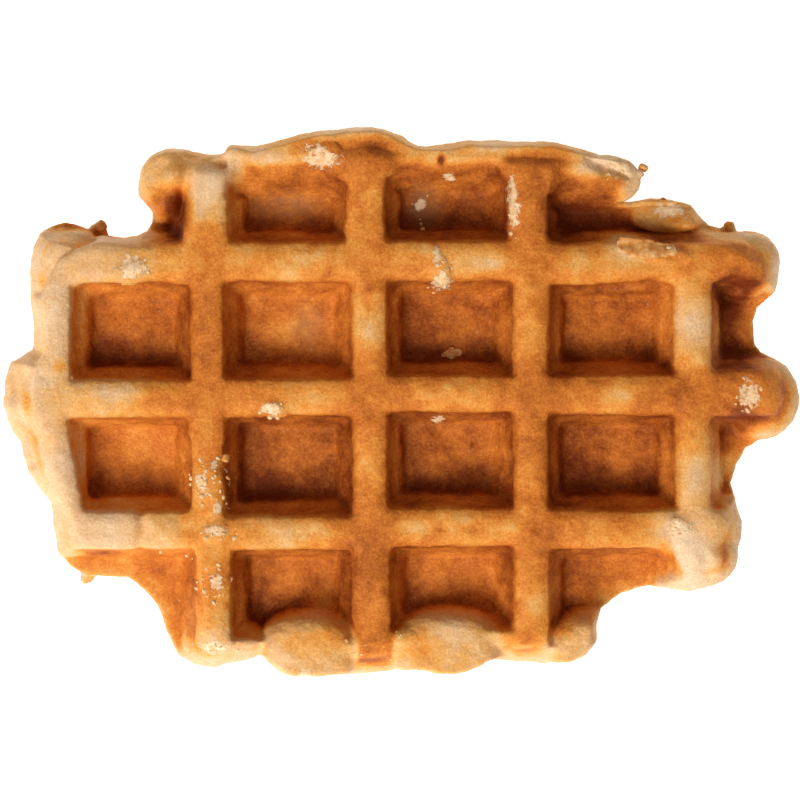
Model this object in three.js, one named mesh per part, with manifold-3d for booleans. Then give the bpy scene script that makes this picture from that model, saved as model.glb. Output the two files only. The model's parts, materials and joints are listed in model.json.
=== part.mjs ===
// A Liege waffle, baked between two deep iron plates and left whole.
// The dough is one solid: a thick slab with an uneven rolled rim, whose pockets are the
// prints of the plates' teeth, above and below, with a thin web between them.
// Millimetres, +Z up. The shown side is up, and the origin is the middle of the underside.

import * as THREE from 'three';
import { mergeVertices } from 'three/addons/utils/BufferGeometryUtils.js';
import Module from 'manifold-3d';

// ---- driving dimensions ----------------------------------------------------------------

const thickness = 24;
const middle = thickness / 2;

// The ridges cross on this grid. The first ridge each way is the left and the top rim.
const pitch = { x: 27.8, y: 23 };
const firstRidge = { x: -61.3, y: 47.4 };

// One tooth's print: its mouth between the ridge tops, its floor, and how deep it goes.
const mouth = { x: 22.2, y: 17 };
const floor = { x: 15.5, y: 11.6 };
const pocketDepth = 9;
const mouthCorner = 0.6;
const floorCorner = 0.7;
const shoulder = 0.6;      // how far the ridge tops round over into the walls
const fillet = 0.6;        // the soft corner between walls and floor
const beyondRim = 16;      // how far an open pocket's tooth runs out past the dough

const rollRings = 4;       // rings from the rim's widest line to the flat top
const stepsPerPoint = 2;   // outline steps between two rim points
const cornerSteps = 2;     // steps round one corner of a tooth
const undersideShift = 0.5; // how far the underside's prints stray from the grid

// ---- the rim ---------------------------------------------------------------------------

// Where the dough stopped: x, y, and how far in from there the top has rolled up to full
// height. Clockwise, seen from above, from the left rim.
const rimPoints = [
    // left rim above the middle ridge
    [-64.7, 9.6, 4], [-65, 17.9, 4], [-64.8, 24.5, 5], [-63.4, 29.6, 6],
    // the upper ridge's left corner, and the notch under the ball
    [-58.5, 31.3, 5], [-53.8, 29.6, 4], [-48.6, 28.7, 4], [-44.7, 29.9, 4], [-43.7, 33.1, 3],
    // ball at the upper end of the second upright ridge
    [-45.9, 36, 4], [-45.7, 40.6, 6], [-42.4, 43.9, 6], [-38.2, 44.4, 6], [-32.4, 43.2, 5],
    // top rim
    [-30.9, 44.9, 5], [-26, 44.6, 6], [-17.9, 46.9, 6], [-10.9, 47.8, 6], [-5.3, 48.3, 6],
    [-0.1, 46.7, 6], [2.9, 44.8, 5], [11.9, 45.9, 5], [22.4, 45.6, 5], [32.1, 44.2, 5],
    // step down beside the overhanging tongue
    [35.8, 39.6, 4], [37.3, 34.9, 3], [43.6, 35.6, 3], [50.7, 34.6, 4], [53.9, 30.9, 4],
    // right end of the upper ridge
    [61.4, 29.5, 6], [66, 24.9, 7], [65.7, 19.6, 7], [62.7, 16.3, 5],
    // right end of the middle ridge
    [61.9, 11.7, 4], [63.3, 8.5, 6], [67.9, 6.2, 7], [70.1, 0.7, 8], [67.3, -4.8, 7],
    [60.8, -8.4, 5], [58, -14.4, 4],
    // lower right lobe
    [60, -21.2, 6], [59.6, -27, 8], [55.8, -32.2, 8], [50.4, -33.6, 7], [43.6, -32.5, 5],
    // bottom rim
    [35.1, -36.9, 5], [34.1, -42.5, 6], [29.8, -46, 7], [20.9, -46.3, 7], [14.1, -45.6, 7],
    [3.1, -47.1, 7], [-9.3, -48.3, 7], [-19.5, -47.2, 7], [-24.5, -44.7, 6],
    // lower end of the second upright ridge
    [-33.7, -47.1, 7], [-39.7, -44.6, 8],
    // the lower left corner, where the web runs out
    [-43.1, -36.1, 6], [-48.4, -30.9, 5], [-55.8, -30.7, 5], [-60.6, -26.1, 6],
    // left rim below the middle ridge, and that ridge's own blob
    [-61.6, -17.6, 4], [-65.8, -12, 6], [-67.1, -6.3, 7], [-70.1, -0.5, 7], [-68.6, 7, 6],
];

// ---- the pockets -----------------------------------------------------------------------

// One entry for each print. Row and column count from the top left. The other values move
// one side of the print outwards, or inwards where they are negative. An open side runs
// out through the rim. Lean turns the mouth's left side inwards towards the bottom.
const pockets = [
    { row: 1, column: 1, left: beyondRim, right: -1, top: -7 },
    { row: 1, column: 2, left: -0.4, right: -1, top: -6 },
    { row: 1, column: 3, left: 0.6, right: -0.8, top: -4.8, bottom: -0.3 },
    { row: 1, column: 4, left: 0.6, right: beyondRim, top: -8 },
    { row: 2, column: 1, left: -1.2, right: 0.2, top: -0.4, bottom: 0.5 },
    { row: 2, column: 2, left: 0.5, right: 0.1, bottom: 0.2 },
    { row: 2, column: 3, left: 0.3, top: 0.1, bottom: -0.2 },
    { row: 2, column: 4, left: 0.2, top: -0.3, bottom: -0.3 },
    { row: 2, column: 5, right: beyondRim, bottom: -1 },
    { row: 3, column: 1, left: -0.4, right: -0.2, top: -0.2, lean: 3 },
    { row: 3, column: 2, left: 0.5, right: 0.2, bottom: 0.9 },
    { row: 3, column: 3, left: 0.3, top: 0.6, bottom: -0.3 },
    { row: 3, column: 4, left: 0.2, right: 0.6, top: 0.2 },
    { row: 3, column: 5, right: beyondRim },
    { row: 4, column: 1, left: beyondRim, right: 0.7, bottom: beyondRim },
    { row: 4, column: 2, left: -0.5, bottom: -0.6 },
    { row: 4, column: 3, left: -0.2, top: 0.4, bottom: -2.2 },
    { row: 4, column: 4, right: 0.2, bottom: 1.2 },
];

// ---- lumps -----------------------------------------------------------------------------

// Round swells of dough that ran out between the plates, at the ridges' ends.
// Middle, half sizes, and turn about the vertical in degrees.
const swells = [
    { at: [-40, 38.8, 13.5], half: [5.8, 5.6, 9.4], turn: 0 },
    { at: [-64.2, -0.3, 12], half: [5.6, 8.4, 10], turn: 8 },
    { at: [63, 0.1, 12.5], half: [6.9, 7.2, 11], turn: 0 },
    { at: [60.3, 23.7, 12.5], half: [5.8, 6.4, 10.5], turn: -30 },
    { at: [53.4, -26.2, 13], half: [6.2, 6.8, 11], turn: 20 },
    { at: [-33.8, -41.2, 12.5], half: [5.4, 5.6, 11], turn: 0 },
    { at: [25.5, -42.6, 12], half: [8.4, 3.8, 10.4], turn: 0 },
    { at: [-16.4, -42.4, 12.4], half: [8.8, 5.9, 11.4], turn: 4 },
    { at: [7.6, -42.2, 12.6], half: [8.8, 6, 11.3], turn: -3 },
];

// The tongue of crust that overhangs the open corner pocket at the top right.
const tongue = [
    { at: [30.4, 39.1, 19.6], half: [6.6, 4.8, 3.7], turn: -4 },
    { at: [35.8, 38.9, 19.8], half: [5.4, 4.1, 2.7], turn: -8 },
];

// Craggy bits fused to the crust: melted sugar, torn crust and crumbs.
const crags = [
    { at: [-46.5, 22.6, 23.9], half: [3.4, 2.3, 0.8], turn: 10 },
    { at: [6.2, 23.4, 23.9], half: [1.8, 4, 0.8], turn: 12 },
    { at: [-14.4, 42, 23.3], half: [4.2, 2.5, 1], turn: 25 },
    { at: [-22.5, -0.9, 23.8], half: [2.9, 1.5, 0.8], turn: -8 },
    { at: [-33.3, -14.6, 23.9], half: [3, 5.2, 0.8], turn: -6 },
    { at: [-32.6, -22, 23.9], half: [2.7, 1.9, 0.7], turn: 20 },
    { at: [43, 26, 23.9], half: [6.6, 1.9, 0.8], turn: -6 },
    { at: [47.6, -21, 23.9], half: [2.9, 1.6, 0.8], turn: -10 },
    { at: [60.4, 1.2, 23.3], half: [2.2, 3.2, 0.9], turn: 0 },
    { at: [-53.4, 29.6, 13], half: [1.7, 1.8, 1.8], turn: 30 },
    { at: [57.4, 30.4, 15], half: [1, 1.2, 1.2], turn: 0 },
    { at: [40.6, 39.6, 20.2], half: [1.3, 1, 0.9], turn: 15 },
    { at: [-55.6, -31, 12], half: [1.6, 1.2, 1.6], turn: 40 },
];

// ---- helpers ---------------------------------------------------------------------------

const wasm = await Module();
wasm.setup();

// Draws between -1 and 1, the same each run.
let seed = 20537;
const stray = () => {
    seed = (seed * 16807) % 2147483647;
    return (seed / 2147483647) * 2 - 1;
};

const solidOf = (geometry) => {
    geometry.deleteAttribute('normal');
    geometry.deleteAttribute('uv');
    const merged = mergeVertices(geometry, 1e-4);
    return new wasm.Manifold(new wasm.Mesh({
        numProp: 3,
        vertProperties: new Float32Array(merged.attributes.position.array),
        triVerts: new Uint32Array(merged.index.array),
    }));
};

const geometryOf = (solid) => {
    const mesh = solid.getMesh();
    const geometry = new THREE.BufferGeometry();
    geometry.setAttribute('position', new THREE.BufferAttribute(mesh.vertProperties, 3));
    geometry.setIndex(new THREE.BufferAttribute(mesh.triVerts, 1));
    geometry.computeVertexNormals();
    return geometry;
};

// A closed skin over rings of points, lowest ring first, each running counter-clockwise.
const skinOver = (rings) => {
    const count = rings[0].length;
    const points = rings.flat();
    const faces = [];
    for (let level = 0; level < rings.length - 1; level += 1) {
        for (let i = 0; i < count; i += 1) {
            const here = level * count + i;
            const next = level * count + ((i + 1) % count);
            faces.push(here, next, next + count, here, next + count, here + count);
        }
    }
    const centreOf = (ring) => ring
        .reduce((sum, point) => sum.add(point), new THREE.Vector3())
        .divideScalar(count);
    const lowest = points.push(centreOf(rings[0])) - 1;
    const highest = points.push(centreOf(rings.at(-1))) - 1;
    const lastRing = (rings.length - 1) * count;
    for (let i = 0; i < count; i += 1) {
        const next = (i + 1) % count;
        faces.push(lowest, next, i, highest, lastRing + i, lastRing + next);
    }
    const geometry = new THREE.BufferGeometry().setFromPoints(points);
    geometry.setIndex(faces);
    return solidOf(geometry);
};

// ---- the slab --------------------------------------------------------------------------

// The rim is widest at half the thickness and rolls in to the flat top and underside.
// Each point moves towards the middle of the slab, so that no two rings cross.
const slab = () => {
    const asVector = ([x, y, roll]) => new THREE.Vector3(x, y, roll);
    const rim = new THREE.CatmullRomCurve3(rimPoints.map(asVector), true, 'centripetal')
        .getPoints(rimPoints.length * stepsPerPoint)
        .slice(1)
        .reverse();
    const rings = [];
    for (let step = -rollRings; step <= rollRings; step += 1) {
        const angle = (step / rollRings) * (Math.PI / 2);
        const inwards = 1 - Math.cos(angle);
        rings.push(rim.map((point) => {
            const reach = Math.hypot(point.x, point.y);
            const scale = (reach - point.z * inwards) / reach;
            return new THREE.Vector3(
                point.x * scale,
                point.y * scale,
                middle + middle * Math.sin(angle),
            );
        }));
    }
    return skinOver(rings);
};

// ---- the plates' teeth -----------------------------------------------------------------

// A rectangle with round corners, counter-clockwise, at one height.
const roundedRectangle = (sides, wantedCorner, z, lean) => {
    const quarter = Math.PI / 2;
    const height = sides.top - sides.bottom;
    const width = sides.right - sides.left;
    const corner = Math.min(wantedCorner, height * 0.45);
    const corners = [
        [sides.right - corner, sides.top - corner],
        [sides.left + corner, sides.top - corner],
        [sides.left + corner, sides.bottom + corner],
        [sides.right - corner, sides.bottom + corner],
    ];
    return corners.flatMap(([x, y], which) => {
        const arc = [];
        for (let step = 0; step <= cornerSteps; step += 1) {
            const angle = quarter * (which + step / cornerSteps);
            const point = new THREE.Vector3(
                x + corner * Math.cos(angle),
                y + corner * Math.sin(angle),
                z,
            );
            const lower = (sides.top - point.y) / height;
            const leftward = (sides.right - point.x) / width;
            point.x += lean * lower * leftward;
            arc.push(point);
        }
        return arc;
    });
};

// One tooth, from the pocket's floor up past the ridge tops. Face is 1 above, -1 below.
const tooth = (pocket, face) => {
    const { row, column, left = 0, right = 0, top = 0, bottom = 0, lean = 0 } = pocket;
    const drift = face > 0 ? 0 : undersideShift;
    const x = firstRidge.x + (column - 0.5) * pitch.x + drift * stray();
    const y = firstRidge.y - (row - 0.5) * pitch.y + drift * stray();
    const sidesAt = (size, inset) => ({
        left: x - size.x / 2 - left + inset,
        right: x + size.x / 2 + right - inset,
        top: y + size.y / 2 + top - inset,
        bottom: y - size.y / 2 - bottom + inset,
    });
    const layers = [
        { depth: pocketDepth, size: floor, inset: fillet, corner: floorCorner / 2 },
        { depth: pocketDepth - fillet / 2, size: floor, inset: fillet / 4, corner: floorCorner },
        { depth: pocketDepth - 2 * fillet, size: floor, inset: -fillet / 2, corner: floorCorner },
        { depth: shoulder, size: mouth, inset: shoulder / 2, corner: mouthCorner },
        { depth: shoulder / 4, size: mouth, inset: shoulder / 4, corner: mouthCorner },
        { depth: -shoulder, size: mouth, inset: -shoulder, corner: mouthCorner },
    ];
    const rings = layers.map(({ depth, size, inset, corner }) => {
        const z = middle + face * (middle - depth);
        const leanHere = lean * (1 - Math.max(depth, 0) / pocketDepth);
        return roundedRectangle(sidesAt(size, inset), corner, z, leanHere);
    });
    return skinOver(face > 0 ? rings : rings.reverse());
};

// ---- lumps and crags -------------------------------------------------------------------

const placed = (geometry, { at, half, turn }) => {
    geometry.scale(...half);
    geometry.rotateZ(THREE.MathUtils.degToRad(turn));
    geometry.translate(...at);
    return geometry;
};

const swell = (shape) => solidOf(placed(new THREE.IcosahedronGeometry(1, 3), shape));

// A crag is a ball of few faces whose corners stray in and out.
const crag = (shape) => {
    const geometry = new THREE.IcosahedronGeometry(1, 1);
    geometry.deleteAttribute('normal');
    geometry.deleteAttribute('uv');
    const ball = mergeVertices(geometry);
    const { position } = ball.attributes;
    for (let i = 0; i < position.count; i += 1) {
        const reach = 1 + 0.22 * stray();
        position.setXYZ(i, position.getX(i) * reach, position.getY(i) * reach, position.getZ(i) * reach);
    }
    return solidOf(placed(ball, shape));
};

// ---- the waffle ------------------------------------------------------------------------

const bakedDough = () => {
    let dough = slab();
    for (const pocket of pockets) {
        dough = dough.subtract(tooth(pocket, 1)).subtract(tooth(pocket, -1));
    }
    for (const shape of [...swells, ...tongue]) {
        dough = dough.add(swell(shape));
    }
    for (const shape of crags) {
        dough = dough.add(crag(shape));
    }
    return dough;
};

const crust = new THREE.MeshStandardMaterial({ color: 0xd08a45, roughness: 0.75, metalness: 0 });

const waffle = new THREE.Mesh(geometryOf(bakedDough()), crust);
waffle.name = 'waffle';

// The origin is under the middle of the box that just holds the waffle.
waffle.geometry.computeBoundingBox();
const centre = waffle.geometry.boundingBox.getCenter(new THREE.Vector3());
waffle.position.set(-centre.x, -centre.y, 0);

const part = new THREE.Group();
part.add(waffle);

export default part;
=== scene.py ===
# %% [markdown]
# # A Liege waffle
# A Liege waffle is a lump of sweet dough with sugar pearls in it, pressed between two deep
# iron plates. The ridges and pockets are the print of the irons. Where the dough touched
# the hot iron it is golden to brown, and where it ran out freely it stays pale.
# This lesson dresses one such waffle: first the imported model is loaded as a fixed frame.

# %% Load the frame
import math
import json
import random

import bpy
import numpy as np
from mathutils import Matrix, Vector

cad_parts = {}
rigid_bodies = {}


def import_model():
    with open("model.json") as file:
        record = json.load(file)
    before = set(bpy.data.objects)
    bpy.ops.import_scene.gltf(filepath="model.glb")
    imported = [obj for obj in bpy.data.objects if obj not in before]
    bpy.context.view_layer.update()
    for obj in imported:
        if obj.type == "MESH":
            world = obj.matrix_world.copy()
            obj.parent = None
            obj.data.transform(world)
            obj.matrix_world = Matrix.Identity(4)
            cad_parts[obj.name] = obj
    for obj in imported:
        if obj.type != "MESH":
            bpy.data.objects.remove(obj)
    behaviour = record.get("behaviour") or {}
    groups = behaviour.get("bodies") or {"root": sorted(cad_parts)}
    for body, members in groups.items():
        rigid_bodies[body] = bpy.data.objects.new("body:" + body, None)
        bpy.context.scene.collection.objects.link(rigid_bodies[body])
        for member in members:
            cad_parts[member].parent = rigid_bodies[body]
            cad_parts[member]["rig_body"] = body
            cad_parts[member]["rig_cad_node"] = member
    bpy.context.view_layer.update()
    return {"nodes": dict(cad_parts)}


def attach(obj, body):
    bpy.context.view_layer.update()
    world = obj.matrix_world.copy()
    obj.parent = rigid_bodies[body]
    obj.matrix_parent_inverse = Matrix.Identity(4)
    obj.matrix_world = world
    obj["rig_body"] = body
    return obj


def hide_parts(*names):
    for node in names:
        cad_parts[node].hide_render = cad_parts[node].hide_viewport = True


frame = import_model()
MM = 0.001

# %% [markdown]
# The waffle lies flat and is seen from above, from a little over a foot away. The lens is
# a short telephoto. The camera stands slightly up and left of the middle and leans back
# towards it, so the pockets far from it show more of their outer walls.
# The matrix is built by hand, because near the vertical the track helpers turn the camera.

# %% The camera
# the camera's place and aim in mm, and its lens and sensor in mm
CAMERA_AT = Vector((-11.735, 18.257, 400)) * MM
CAMERA_AIM = Vector((-0.735, 0.757, 24)) * MM
LENS = 98.96
SENSOR = 36

scene = bpy.context.scene
backwards = (CAMERA_AT - CAMERA_AIM).normalized()
rightwards = Vector((0, 1, 0)).cross(backwards).normalized()
upwards = backwards.cross(rightwards)
turned = Matrix((rightwards, upwards, backwards)).transposed().to_4x4()

camera = bpy.data.objects.new("camera", bpy.data.cameras.new("camera"))
camera.data.lens = LENS
camera.data.sensor_width = SENSOR
camera.data.clip_start = 0.01
camera.matrix_world = Matrix.Translation(CAMERA_AT) @ turned
scene.collection.objects.link(camera)
scene.camera = camera
print("camera stands", round((CAMERA_AT - CAMERA_AIM).length / MM), "mm off")

# %% [markdown]
# Two helpers come before any surface. A colour is written as the hex value that a paint
# program shows, and turned into the linear light that the shaders work in. One small
# function adds any node, with its settings and with values or links for its sockets.

# %% Colour and node helpers


def linear(hex_colour):
    """The linear RGBA of an sRGB hex colour."""
    channels = [int(hex_colour[i:i + 2], 16) / 255 for i in (1, 3, 5)]
    bent = [c / 12.92 if c <= 0.04045 else ((c + 0.055) / 1.055) ** 2.4 for c in channels]
    return (*bent, 1.0)


def add_node(tree, kind, inputs=None, **settings):
    """A new node. An input is a value, or the socket that feeds it."""
    node = tree.nodes.new(kind)
    for name, value in settings.items():
        setattr(node, name, value)
    for socket, value in (inputs or {}).items():
        if isinstance(value, bpy.types.NodeSocket):
            tree.links.new(value, node.inputs[socket])
        else:
            node.inputs[socket].default_value = value
    return node


def per_metre(size_mm):
    """The noise scale whose blobs are about this wide."""
    return 1 / (size_mm * MM)


def new_material(name):
    """An empty node material with its output, and the tree to fill."""
    material = bpy.data.materials.new(name)
    material.use_nodes = True
    material.node_tree.nodes.clear()
    return material, material.node_tree


print("middle grey is", round(linear("#808080")[0], 3), "in linear light")

# %% [markdown]
# The light is one big soft box low on the near left, so that pocket walls facing it glow
# and those facing away go dark, with an even warm-white room round it. The table is plain
# white and shines a little by itself, as a photographer's light table does, which keeps
# the shadow round the waffle very faint. It lies a third of a millimetre low, because the
# lowest lumps of the dough's underside reach that far down.

# %% Table and lights
# places and sizes in metres, power in watts, and the table's height in mm
KEY_FROM = Vector((-0.36, -0.55, 0.75))
KEY_SIZE = 0.45
KEY_POWER = 11.2
ROOM_LIGHT = 0.31
TABLE_GLOW = 0.9
TABLE_RADIUS = 3
TABLE_AT = -0.35

bpy.ops.object.select_all(action="DESELECT")
bpy.ops.mesh.primitive_circle_add(vertices=96, radius=TABLE_RADIUS, fill_type="NGON",
                                 location=(0, 0, TABLE_AT * MM))
table = bpy.context.object
table.name = "table"
coated_board, tree = new_material("white coated board")
board = add_node(tree, "ShaderNodeBsdfPrincipled", {
    "Base Color": linear("#F4F4F2"),
    "Roughness": 0.7,
    "Emission Color": linear("#FFFFFF"),
    "Emission Strength": TABLE_GLOW,
})
add_node(tree, "ShaderNodeOutputMaterial", {"Surface": board.outputs["BSDF"]})
table.data.materials.append(coated_board)

key = bpy.data.objects.new("soft_box", bpy.data.lights.new("soft_box", "AREA"))
key.data.size = KEY_SIZE
key.data.energy = KEY_POWER
key.location = KEY_FROM
key.rotation_euler = KEY_FROM.to_track_quat("Z", "Y").to_euler()
scene.collection.objects.link(key)

room = bpy.data.worlds.new("warm white room")
room.use_nodes = True
room.node_tree.nodes["Background"].inputs["Color"].default_value = linear("#FFECD8")
room.node_tree.nodes["Background"].inputs["Strength"].default_value = ROOM_LIGHT
scene.world = room
scene.view_settings.view_transform = "Standard"
print("lit from", tuple(round(v, 2) for v in KEY_FROM))

# %% [markdown]
# The dough is sculpted by moving its vertices in code, all at once, which follows the
# print of the irons more closely than a hand can. These helpers read and write them as
# arrays of numbers in millimetres, and apply one modifier at a time.

# %% Mesh helpers


def only(piece):
    """Leave this one object selected and active."""
    bpy.ops.object.select_all(action="DESELECT")
    piece.select_set(True)
    bpy.context.view_layer.objects.active = piece


def apply_modifier(piece, name, kind, **settings):
    """Add a modifier with its settings and apply it at once."""
    only(piece)
    modifier = piece.modifiers.new(name, kind)
    for setting, value in settings.items():
        setattr(modifier, setting, value)
    bpy.ops.object.modifier_apply(modifier=name)


def points_of(piece):
    """The piece's vertices as an array of x, y, z in mm."""
    points = np.empty(len(piece.data.vertices) * 3)
    piece.data.vertices.foreach_get("co", points)
    return points.reshape(-1, 3) / MM


def normals_of(piece):
    """The piece's vertex normals as an array of x, y, z."""
    normals = np.empty(len(piece.data.vertices) * 3)
    piece.data.vertex_normals.foreach_get("vector", normals)
    return normals.reshape(-1, 3)


def move_points(piece, points):
    """Put the vertices at these places in mm."""
    piece.data.vertices.foreach_set("co", (points * MM).ravel())
    piece.data.update()


def triangles(piece):
    """How many triangles its faces come to."""
    return sum(len(face.vertices) - 2 for face in piece.data.polygons)


cad_waffle = frame["nodes"]["waffle"]
print("CAD waffle:", triangles(cad_waffle), "triangles")

# %% [markdown]
# The dough itself starts as a copy of the CAD waffle, which holds the true size, the rim
# and every pocket. The copy is merged and remeshed into small even cells, fine enough to
# be sculpted. A voxel remesh leaves steps on sloping walls, so a Shrinkwrap then lays
# every point back on the form it came from, which brings the crisp edges back.

# %% The dough as an even mesh
CELL = 0.52 * MM
DOUBLES_WITHIN = 0.001 * MM

dough = cad_waffle.copy()
dough.data = cad_waffle.data.copy()
dough.parent = None
dough.name = "baked_dough"
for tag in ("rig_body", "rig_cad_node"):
    del dough[tag]
dough.data.materials.clear()
scene.collection.objects.link(dough)
only(dough)
bpy.ops.object.mode_set(mode="EDIT")
bpy.ops.mesh.select_all(action="SELECT")
bpy.ops.mesh.remove_doubles(threshold=DOUBLES_WITHIN)
bpy.ops.object.mode_set(mode="OBJECT")
apply_modifier(dough, "even_cells", "REMESH", mode="VOXEL", voxel_size=CELL)
apply_modifier(dough, "back_on_form", "SHRINKWRAP", target=cad_waffle,
               wrap_method="NEAREST_SURFACEPOINT")
print("even cells:", triangles(dough), "triangles")

# %% [markdown]
# The irons print a regular grid, so most of the sculpting and browning can be told where
# to go by it: how far a point is from the nearest ridge line each way, how deep it lies
# under the ridge tops, and how far in it is from an edge. The last is measured on a small
# map of the wanted area, seen from above, which is eaten away ring by ring.

# %% Where each point lies
# in mm: how thick the waffle is, how deep its pockets, and how far apart its ridges are
THICKNESS = 24
FLOOR_DEPTH = 9
FLOOR_TOP = THICKNESS - FLOOR_DEPTH
PITCH = np.array([27.8, 23.0])
FIRST_RIDGES = (-61.3, 47.4)
UPRIGHT_RIDGES = FIRST_RIDGES[0] + PITCH[0] * np.arange(5)
LEVEL_RIDGES = FIRST_RIDGES[1] - PITCH[1] * np.arange(5)
# in mm: the heights between which the shown side begins, then the map's cell and half size
SHOWN_FROM = (8, 12)
MAP_CELL = 0.6
MAP_HALF = np.array([76, 54])
MAP_BLURS = 2
EDGE_RINGS = 30


def nearest(values, lines):
    """The distance of each value to the nearest of some lines."""
    return np.abs(values[:, None] - lines[None, :]).min(axis=1)


def smooth_step(values, low, high):
    """0 below low, 1 above high, and an easy curve between."""
    share = np.clip((values - low) / (high - low), 0, 1)
    return share * share * (3 - 2 * share)


def shown_side(heights):
    """0 at the underside's heights and 1 at the shown side's."""
    return smooth_step(heights, *SHOWN_FROM)


def ring_map(places, rings):
    """A map of how many rings in from the edge each cell lies, of the area at these places."""
    inside = np.zeros((2 * MAP_HALF / MAP_CELL).astype(int) + 1, bool)
    cells = places.round().astype(int)
    inside[cells[:, 0], cells[:, 1]] = True
    reach = np.zeros(inside.shape)
    ring = inside
    for step in range(rings):
        reach += ring
        shifted = [np.roll(ring, shift, axis) for axis in (0, 1) for shift in (-1, 1)]
        if step % 2:
            shifted += [np.roll(np.roll(ring, i, 0), j, 1) for i in (-1, 1) for j in (-1, 1)]
        ring = ring & np.logical_and.reduce(shifted)
    for _ in range(MAP_BLURS):
        reach = sum(np.roll(np.roll(reach, i, 0), j, 1)
                    for i in (-1, 0, 1) for j in (-1, 0, 1)) / 9
    return reach


def distance_inside(points, chosen, rings):
    """How far each point lies inside the area that the chosen points cover, in mm."""
    places = (points[:, :2] + MAP_HALF) / MAP_CELL
    reach = ring_map(places[chosen], rings)
    corner = np.floor(places).astype(int)
    share = places - corner
    value = 0
    for i in (0, 1):
        for j in (0, 1):
            weight = np.abs(1 - i - share[:, 0]) * np.abs(1 - j - share[:, 1])
            value = value + weight * reach[corner[:, 0] + i, corner[:, 1] + j]
    return value * MAP_CELL


def edge_distance(points):
    """How far in from the dough's outer edge each point lies, seen from above, in mm."""
    return distance_inside(points, np.ones(len(points), bool), EDGE_RINGS)


print("upright ridges at", UPRIGHT_RIDGES.round(1), "level ridges at", LEVEL_RIDGES.round(1))

# %% [markdown]
# The ridges are not flat on top. Dough shrinks as it cools, so each ridge is a low roll,
# highest along its middle. The tops on each face are found by their height, and the
# nearer a top lies to a drop, the more it is let down.

# %% Round the ridges
# in mm: how far the edges are let down, from how far in, at what depth that fades, and how
# deep a point may lie and still count as a top
CROWN = 1.7
CROWN_REACH = 3.2
CROWN_RINGS = 9
CROWN_FADES = (2, 7)
TOPS_WITHIN = 1.2


def round_the_ridges(piece):
    """Let the edges of the ridge tops down, on both faces."""
    points = points_of(piece)
    for face in (1, -1):
        depth = THICKNESS - points[:, 2] if face > 0 else points[:, 2]
        inside = distance_inside(points, depth < TOPS_WITHIN, CROWN_RINGS)
        fall = CROWN * np.clip(1 - inside / CROWN_REACH, 0, 1) ** 2
        points[:, 2] -= face * fall * (1 - smooth_step(depth, *CROWN_FADES))
    move_points(piece, points)


round_the_ridges(dough)
print("ridge edges let down by", CROWN, "mm")

# %% [markdown]
# The irons were not quite full. Along the top edge the rim stands steep outside and slopes
# down into the first row of pockets. Along the bottom edge the dough swelled back into the
# last row in round bulges, and a ball and a tongue of it stand at the two top corners. Each
# is a wanted height over a named place, and the shown side is moved there. Only heights
# change, so a Smooth modifier then evens out the faces that this stretched or crowded.

# %% Sloped rims and bulges
# in mm: the strip along the outer edge that is left alone, where the top rim begins, its
# height, and how far in from each end a slope is complete
EDGE_LEFT_ALONE = (0.6, 2.2)
TOP_RIM_FROM = (40.5, 42.5)
TOP_RIM_RIGHT_OF = (-36, -33)
TOP_RIM_HEIGHT = 22.6
SLOPE_SIDES = (3.8, 3.5)
SLOPED_RIMS = [
    # left and right end (x), foot and crest (y), height of the crest in mm
    ((-31.0, -10.0), (35.4, 44.0), 23.0), ((-3.4, 18.4), (36.4, 43.4), 23.0),
    ((24.6, 38.6), (33.4, 41.2), 22.4),
]
BULGES = [
    # middle, half size, height in mm
    ((-42.2, 38.0), (5.8, 6.8), 22.2), ((-16.5, -43.0), (9.2, 6.8), 23.6),
    ((7.6, -43.4), (10.2, 7.7), 23.6), ((32, -44.0), (6.4, 7.8), 23.2),
    ((46.4, 32.9), (6.8, 3.4), 18.2),
]
BULGE_SQUARENESS = 2.5
BULGE_STEEPNESS = 6
MOVED_FROM = 0.15


def bulge_reach(points, at, half):
    """0 in the middle of a bulge and 1 along its squarish outline."""
    across = np.abs((points[:, :2] - at) / half)
    return (across ** BULGE_SQUARENESS).sum(axis=1) ** (1 / BULGE_SQUARENESS)


def shape_the_edges(piece):
    """Give the shown side its rims and bulges, then even out what was moved."""
    points = points_of(piece)
    x, y, before = points.T.copy()
    shown = shown_side(before) * smooth_step(edge_distance(points), *EDGE_LEFT_ALONE)
    share = shown * smooth_step(y, *TOP_RIM_FROM) * smooth_step(x, *TOP_RIM_RIGHT_OF)
    height = before + share * (np.maximum(before, TOP_RIM_HEIGHT) - before)
    for (left, right), (foot, crest), top in SLOPED_RIMS:
        rise = np.clip((y - foot) / (crest - foot), 0, 1)
        wanted = FLOOR_TOP + (top - FLOOR_TOP) * np.sin(rise * math.pi / 2)
        share = shown * (rise > 0) * smooth_step(x, left, left + SLOPE_SIDES[0])
        share = share * smooth_step(-x, -right, SLOPE_SIDES[1] - right)
        height = height + share * (np.minimum(height, wanted) - height)
    on_bulge = np.zeros(len(x), bool)
    for at, half, top in BULGES:
        reach = bulge_reach(points, at, half)
        fullness = np.sqrt(1 - np.minimum(reach, 1) ** BULGE_STEEPNESS)
        wanted = FLOOR_TOP + (top - FLOOR_TOP) * fullness
        higher = np.where(reach < 1, np.maximum(height, wanted), height)
        height = height + shown * (higher - height)
        on_bulge = on_bulge | ((reach < 1) & (before > FLOOR_TOP - 1))
    points[:, 2] = height
    move_points(piece, points)
    moved = piece.vertex_groups.new(name="moved")
    chosen = on_bulge | (np.abs(height - before) > MOVED_FROM)
    moved.add(np.flatnonzero(chosen).tolist(), 1, "REPLACE")
    apply_modifier(piece, "even_out", "SMOOTH", factor=0.5, iterations=8, vertex_group="moved")
    piece.vertex_groups.clear()


shape_the_edges(dough)
print(len(SLOPED_RIMS), "sloped rims,", len(BULGES), "bulges")

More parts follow.
